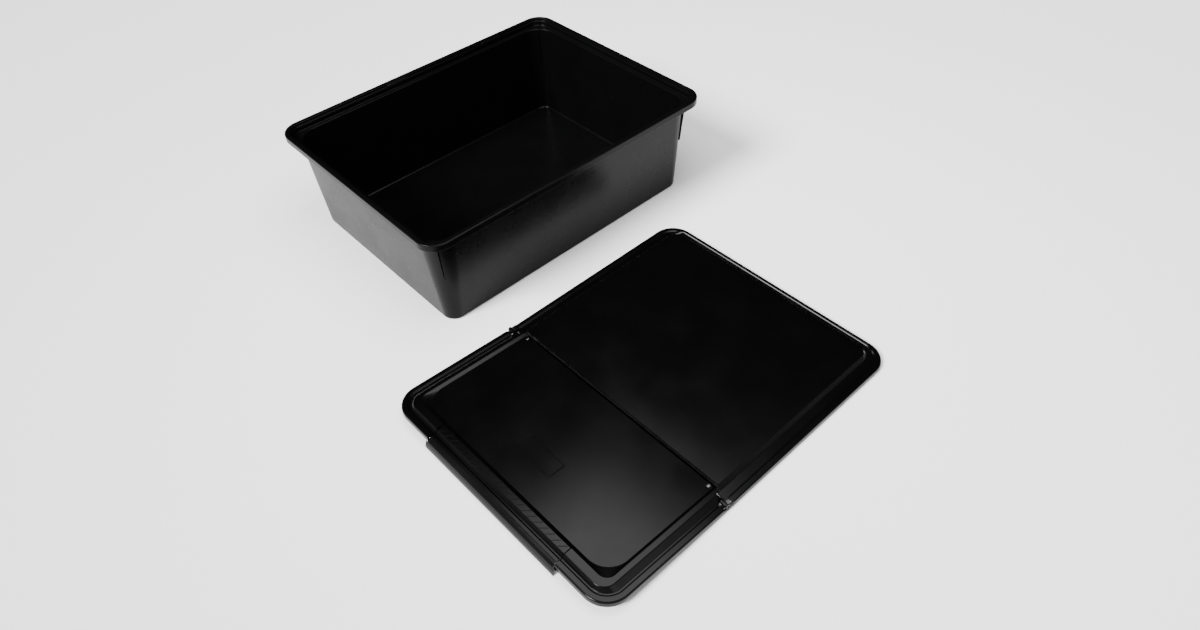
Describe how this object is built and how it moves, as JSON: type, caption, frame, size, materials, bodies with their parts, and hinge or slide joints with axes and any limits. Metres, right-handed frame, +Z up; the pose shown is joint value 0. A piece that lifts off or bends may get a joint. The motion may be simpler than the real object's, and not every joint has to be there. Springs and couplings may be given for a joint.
{
  "type": "storage tote with folding snap lid",
  "caption": "Open rectangular plastic storage tub with drafted walls and a stepped rim, beside its loose lid whose front leaf folds up and carries a flexing latch lip.",
  "frame": {"origin": "centre of the tub's underside, on the floor", "axes": "+X along the tub's long side towards the rear, away from the lid's latch; +Y across the tub, away from the lid that lies beside it; +Z up"},
  "size_m": [0.4986, 0.6478, 0.128],
  "materials": {
    "tub_plastic": "satin",
    "lid_plastic": "satin",
    "pin_plastic": "smooth"
  },
  "bodies": {
    "tub": {"tub": "tub_plastic"},
    "rear_leaf": {"rear_lid_leaf": "lid_plastic", "left_hinge_pin": "pin_plastic", "right_hinge_pin": "pin_plastic"},
    "front_leaf": {"front_lid_leaf": "lid_plastic"},
    "latch": {"front_latch": "lid_plastic"}
  },
  "joints": [
    {"name": "lid_lift", "type": "slide", "parent": "tub", "child": "rear_leaf", "axis": [0, 0, 1], "range_m": [0, 0.3]},
    {"name": "lid_fold", "type": "hinge", "parent": "rear_leaf", "child": "front_leaf", "pos_m": [-0.144, -0.3415, 0.0067], "axis": [0, 1, 0], "range_deg": [-2.87, 92]},
    {"name": "latch_flex", "type": "hinge", "parent": "front_leaf", "child": "latch", "pos_m": [-0.27529, -0.3415, 0.0158], "axis": [0, 1, 0], "range_deg": [0, 10], "stiffness_Nm_per_rad": 2}
  ]
}
